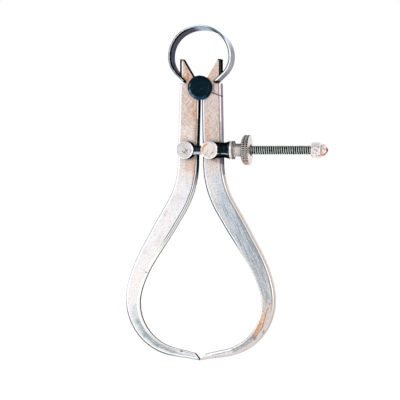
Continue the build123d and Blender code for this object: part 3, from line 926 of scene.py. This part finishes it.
def makeBowHalf(name, side, finishes):
    work = bmesh.new()
    points, facets = stripSection()
    slots = list(finishes)
    rings = []
    for index, (point, out) in enumerate(bowPath()):
        # the lean fades out down the side of the ring
        part = min(1.0, index / bow["archSteps"])
        lean = math.tan(math.radians(bow["lean"])) * (1 - part * part * (3 - 2 * part))
        ring = []
        for depth, y in points:
            spot = point - out * depth
            z = spot.z - (y + bow["width"] / 2) * lean
            ring.append(work.verts.new(Vector((side * spot.x, y, z)) * mm))
        rings.append(ring)
    for low, high in zip(rings, rings[1:]):
        for k, finish in enumerate(facets):
            following = (k + 1) % len(facets)
            face = work.faces.new([low[k], low[following], high[following], high[k]])
            face.material_index = slots.index(finish)
    for ring in (rings[0], rings[-1]):
        work.faces.new(ring).material_index = slots.index("edge")
    bmesh.ops.recalc_face_normals(work, faces=work.faces)
    mesh = bpy.data.meshes.new(name)
    work.to_mesh(mesh)
    work.free()
    mesh.shade_smooth()
    mesh.set_sharp_from_angle(angle=math.radians(bow["sharpAngle"]))
    for material in finishes.values():
        mesh.materials.append(material)
    half = bpy.data.objects.new(name, mesh)
    bpy.context.scene.collection.objects.link(half)
    return half


# colour of painted shade on the bow
bowShade = paint(16, 22, 28)
stripDark = paint(166, 166, 172)
insideDark = paint(94, 98, 108)

# right and up say where round the ring a place lies, each from -1 to 1. depth runs from the
# front (-) to the back, and outward is how far the surface faces away from the ring's middle
bowLook = {
    "end": (bowShade, ("height", -19.6, -19.9)),  # the cut ends are painted with the shade of the notches
    "creaseShade": (1.0, bowShade, 0.7),
    "roughness": 0.2,
    "roughSpread": 0.25,
    "relief": 0.01,
}

outsideLook = {
    "steel": paint(204, 203, 206),
    "patches": 1.4,
    "lines": 0.9,
    "coats": [
        (stripDark, ("lines", 0.4, 0.62)),
        (stripDark, ("patches", 0.5, 0.68), 0.6),
        # painted light over the top of the ring and painted shade low down
        (paint(234, 240, 248), ("up", 0.2, 0.6)),
        (paint(140, 144, 150), ("up", -0.35, -0.7), 0.6),
    ],
}

# the inside of the ring: the same steel, darker, as painted shade
insideLook = {
    "steel": paint(146, 144, 152),
    "patches": 1.4,
    "lines": 0.9,
    "coats": [
        (insideDark, ("lines", 0.4, 0.62)),
        (insideDark, ("patches", 0.5, 0.68), 0.6),
        # rust under the crown, a pale blue painted highlight at the crown, and a dark line at the
        # front of the left side
        (paint(150, 112, 92), ("patches", 0.6, 0.7), ("up", 0.3, 0.7), 0.6),
        (paint(190, 203, 216), ("up", 0.86, 0.97), ("right", -0.3, 0.0)),
        (bowShade, ("depth", -2.4, -3.6), ("right", -0.1, -0.35)),
    ],
}

# the front edge of the strip: the same steel, white, as a painted highlight
edgeLook = {
    "steel": paint(250, 252, 252),
    "patches": 1.2,
    "coats": [
        (paint(196, 206, 208), ("patches", 0.5, 0.75)),
        (paint(214, 228, 238), ("up", 0.7, 0.95)),
        # a broken dark outline on the left, and a greyer stretch low down
        (paint(70, 74, 78), ("outward", 0.02, 0.2), ("patches", 0.1, 0.35), ("right", 0.1, -0.2),
         ("up", 0.98, 0.8)),
        (paint(92, 106, 114), ("right", -0.2, -0.4), ("up", 0.0, -0.45), ("up", -0.77, -0.7),
         ("patches", 0.25, 0.5), 0.75),
        # blue to the right of the crown, and a dark inner line of painted shade down the right side
        (paint(116, 140, 160), ("right", 0.15, 0.42), ("right", 0.9, 0.75), ("up", 0.1, 0.3)),
        (paint(62, 78, 90), ("outward", 0.1, -0.05), ("right", 0.6, 0.85), 0.85),
    ],
}

# the inner front corner, a line of painted shade all the way round
cornerLook = {
    "steel": bowShade,
    "patches": 1.0,
    "coats": [
        (paint(44, 62, 68), ("patches", 0.45, 0.7)),
        (paint(150, 168, 186), ("up", 0.85, 0.97), 0.85),
    ],
}


def aroundBow(tree, place, patches, detail):
    at = around(tree, place, (0, 0, bow["centreZ"]), alongY)
    part = split(tree, at["way"])
    at["right"], at["up"] = part["X"], part["Z"]
    at["depth"] = share(tree, place, alongY)
    at["height"] = share(tree, place, upwards)
    at["outward"] = share(tree, at["way"], facing(tree))
    at["patches"] = noise(tree, place, patches, detail)
    return at


def bowStripSteel(name, look):
    # rolled strip: fine lines run round the ring
    material, tree, place = startMaterial(name)
    at = aroundBow(tree, place, look["patches"], 4.0)
    at["lines"] = turningMarks(tree, at["depth"], 0.0, look["lines"], 3.0)
    face = coats(tree, look["steel"], look["coats"], at)
    face = paintCreaseShade(tree, face, *bowLook["creaseShade"])
    face = coats(tree, face, [bowLook["end"]], at)
    finishMetal(tree, face, bowLook, at["patches"], at["lines"])
    return material


def bowEdgeSteel(name, look):
    material, tree, place = startMaterial(name)
    at = aroundBow(tree, place, look["patches"], 3.0)
    face = coats(tree, look["steel"], look["coats"] + [bowLook["end"]], at)
    finishMetal(tree, face, bowLook, at["patches"], at["patches"])
    return material


bowFinishes = {
    "outside": bowStripSteel("bowOutsideSteel", outsideLook),
    "inside": bowStripSteel("bowInsideSteel", insideLook),
    "edge": bowEdgeSteel("bowEdgeSteel", edgeLook),
    "corner": bowEdgeSteel("bowInnerCornerShade", cornerLook),
}
hookEnd = bowPath()[bow["archSteps"] + bow["hookSteps"]][0] * mm
bowHalves = (("bow_left_half", -1, "left_leg_body"), ("bow_right_half", 1, "right_leg_body"))
for name, side, body in bowHalves:
    half = makeBowHalf(name, side, bowFinishes)
    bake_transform(half)
    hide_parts("bow_spring")
print("bow shaped")

# floor, lamps and camera, all in metres

studio = {
    "floorZ": -0.185,
    "floorSize": 5.0,
    "floorCells": 8,
    "paperSize": 40.0,  # mm
    "floorTone": (0.9, 0.9, 0.9, 1.0),
    "floorPale": (0.92, 0.92, 0.92, 1.0),
    "floorLift": 0.12,
    "white": (1.0, 1.0, 1.0, 1.0),
    "around": (0.6, 0.61, 0.64, 1.0),  # what shiny steel sees straight above and below
    "lampAim": (0.0, 0.0, -0.06),
}


def makeFloor():
    mesh = bpy.data.meshes.new("floor")
    work = bmesh.new()
    bmesh.ops.create_grid(work, x_segments=studio["floorCells"], y_segments=studio["floorCells"],
                          size=studio["floorSize"])
    work.to_mesh(mesh)
    work.free()
    floor = bpy.data.objects.new("floor", mesh)
    floor.location.z = studio["floorZ"]
    bpy.context.scene.collection.objects.link(floor)
    material, tree, place = startMaterial("paleFloor")
    paper = noise(tree, place, studio["paperSize"])
    colour = tint(tree, fade(tree, paper, 0.3, 0.7), studio["floorTone"], studio["floorPale"])
    matt = add(tree, "ShaderNodeBsdfDiffuse", {"Color": colour}).outputs[0]
    path = add(tree, "ShaderNodeLightPath").outputs
    seen = calc(tree, "ADD", path["Is Camera Ray"], path["Is Glossy Ray"])
    strength = times(tree, seen, studio["floorLift"])
    lift = add(tree, "ShaderNodeEmission", {"Strength": strength}).outputs[0]
    both = add(tree, "ShaderNodeAddShader", {0: matt, 1: lift}).outputs[0]
    add(tree, "ShaderNodeOutputMaterial", {"Surface": both})
    mesh.materials.append(material)


def makeWorld():
    world = bpy.data.worlds.new("studio")
    bpy.context.scene.world = world
    world.use_nodes = True
    tree = world.node_tree
    tree.nodes.clear()
    path = add(tree, "ShaderNodeLightPath").outputs
    way = add(tree, "ShaderNodeTexCoord").outputs["Generated"]
    steep = calc(tree, "ABSOLUTE", split(tree, way)["Z"])
    mirrored = tint(tree, fade(tree, steep, 0.5, 1.0), studio["white"], studio["around"])
    colour = tint(tree, path["Is Glossy Ray"], studio["white"], mirrored)
    back = add(tree, "ShaderNodeBackground", {"Color": colour, "Strength": 1.0}).outputs[0]
    add(tree, "ShaderNodeOutputWorld", {"Surface": back})


lamps = {
    "keyLamp": {"at": (-0.55, -0.85, 0.5), "size": 0.45, "power": 1.2},
    "leftStrip": {"at": (-0.9, -0.15, 0.0), "size": 0.5, "power": 1.4},
    "rightStrip": {"at": (0.85, -0.35, 0.1), "size": 0.4, "power": 0.9},
}


def makeLamp(name, lamp):
    data = bpy.data.lights.new(name, "AREA")
    data.size = lamp["size"]
    data.energy = lamp["power"]
    light = bpy.data.objects.new(name, data)
    light.location = lamp["at"]
    aim = Vector(studio["lampAim"]) - light.location
    light.rotation_euler = aim.to_track_quat("-Z", "Y").to_euler()
    bpy.context.scene.collection.objects.link(light)


cameraSetup = {
    "azimuth": 12.0,
    "elevation": 0.0,
    "roll": 0.2,
    "distance": 1.04,
    "aim": (-0.0004, 0.0, -0.0634),
    "lens": 254.6,
    "sensor": 36.0,
    "clip": (0.05, 50.0),
}


def placeCamera():
    data = bpy.data.cameras.new("camera")
    data.lens = cameraSetup["lens"]
    data.sensor_width = cameraSetup["sensor"]
    data.clip_start, data.clip_end = cameraSetup["clip"]
    camera = bpy.data.objects.new("camera", data)
    bpy.context.scene.collection.objects.link(camera)
    turn = math.radians(cameraSetup["azimuth"])
    rise = math.radians(cameraSetup["elevation"])
    back = Vector((math.sin(turn) * math.cos(rise), -math.cos(turn) * math.cos(rise),
                   math.sin(rise)))
    camera.location = Vector(cameraSetup["aim"]) + back * cameraSetup["distance"]
    camera.rotation_euler = (-back).to_track_quat("-Z", "Y").to_euler()
    camera.rotation_euler.rotate_axis("Z", math.radians(cameraSetup["roll"]))
    bpy.context.scene.camera = camera


makeFloor()
makeWorld()
for name, lamp in lamps.items():
    makeLamp(name, lamp)
placeCamera()
bpy.context.scene.view_settings.view_transform = "Standard"
print("studio set")
